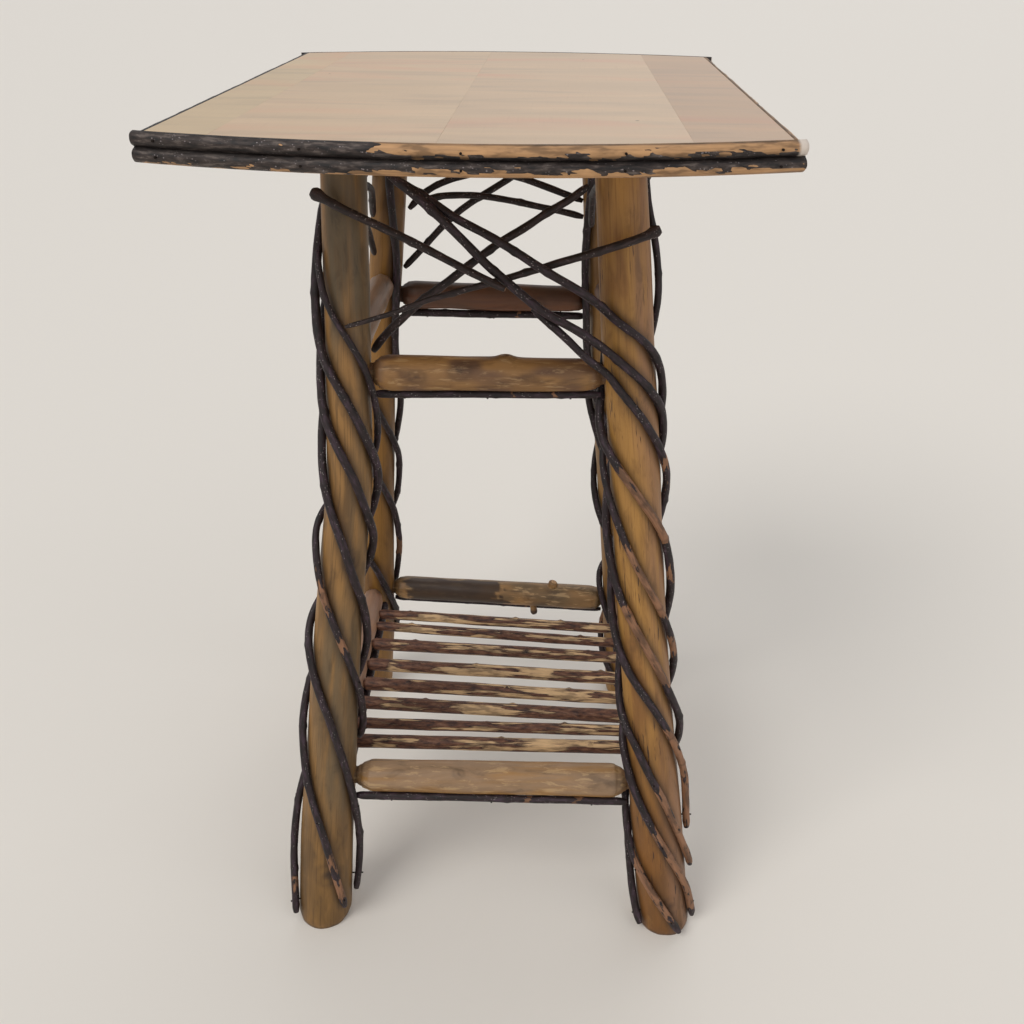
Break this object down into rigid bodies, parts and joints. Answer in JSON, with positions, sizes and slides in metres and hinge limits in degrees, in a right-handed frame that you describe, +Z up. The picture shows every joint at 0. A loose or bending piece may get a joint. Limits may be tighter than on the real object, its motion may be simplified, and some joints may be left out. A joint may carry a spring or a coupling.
{
  "type": "rustic side table",
  "caption": "Rustic side table of peeled poles: a bowed plank top with a split-sapling rim, splayed legs wound with thin switches, round rails and a low slatted shelf.",
  "frame": {"origin": "on the floor, under the middle of the table", "axes": "+Z up, +X to the table's right seen from its front, and the front faces -Y"},
  "size_m": [0.434, 0.5538, 0.78],
  "materials": {
    "top_boards": "pale figured hardwood boards with a clear satin coat",
    "front_trim": "split sapling, dark bark with peeled tan patches",
    "right_trim": "split sapling, mostly peeled to pale wood, with some bark left",
    "rim_bark": "split sapling with dark grey-brown bark",
    "cleats": "plain sawn batten",
    "rails": "peeled hickory pole with bark patches and whittled ends",
    "spindles": "reddish-brown bark with peeled pale streaks",
    "rail_twigs": "thin twig with dark bark",
    "switches": "dark purplish-brown bark with pale flecks",
    "lattice_twigs": "dark bark, pale at the cut ends",
    "legs": "peeled hickory pole, golden under a satin varnish",
    "steel": "plain wire brads and wood screws"
  },
  "bodies": {
    "root": {"back_cleat": "cleats", "back_lattice": "lattice_twigs", "back_left_leg": "legs", "back_left_switches": "switches", "back_right_leg": "legs", "back_right_switches": "switches", "back_trim_lower": "rim_bark", "back_trim_upper": "rim_bark", "brads": "steel", "cleat_screws": "steel", "front_cleat": "cleats", "front_lattice_twig_a": "lattice_twigs", "front_lattice_twig_b": "lattice_twigs", "front_lattice_twig_c": "lattice_twigs", "front_left_leg": "legs", "front_left_switch_a": "switches", "front_left_switch_b": "switches", "front_left_switch_c": "switches", "front_left_switch_d": "switches", "front_right_leg": "legs", "front_right_switch_a": "switches", "front_right_switch_b": "switches", "front_right_switch_c": "switches", "front_right_switch_d": "switches", "front_right_switch_e": "switches", "front_right_switch_f": "switches", "front_trim_lower": "front_trim", "front_trim_upper": "front_trim", "left_lattice": "lattice_twigs", "left_shelf_ledger": "rail_twigs", "left_trim_lower": "rim_bark", "left_trim_upper": "rim_bark", "lower_back_rail": "rails", "lower_back_rail_twig": "rail_twigs", "lower_front_rail": "rails", "lower_front_rail_twig": "rail_twigs", "lower_left_rail": "rails", "lower_right_rail": "rails", "right_lattice": "lattice_twigs", "right_shelf_ledger": "rail_twigs", "right_trim_lower": "right_trim", "right_trim_upper": "right_trim", "shelf_spindle_1": "spindles", "shelf_spindle_2": "spindles", "shelf_spindle_3": "spindles", "shelf_spindle_4": "spindles", "shelf_spindle_5": "spindles", "shelf_spindle_6": "spindles", "shelf_spindle_7": "spindles", "shelf_spindle_8": "spindles", "top_board_1": "top_boards", "top_board_2": "top_boards", "top_board_3": "top_boards", "top_board_4": "top_boards", "upper_back_rail": "rails", "upper_back_rail_twig": "rail_twigs", "upper_front_rail": "rails", "upper_front_rail_twig": "rail_twigs", "upper_left_rail": "rails", "upper_right_rail": "rails"}
  },
  "joints": []
}
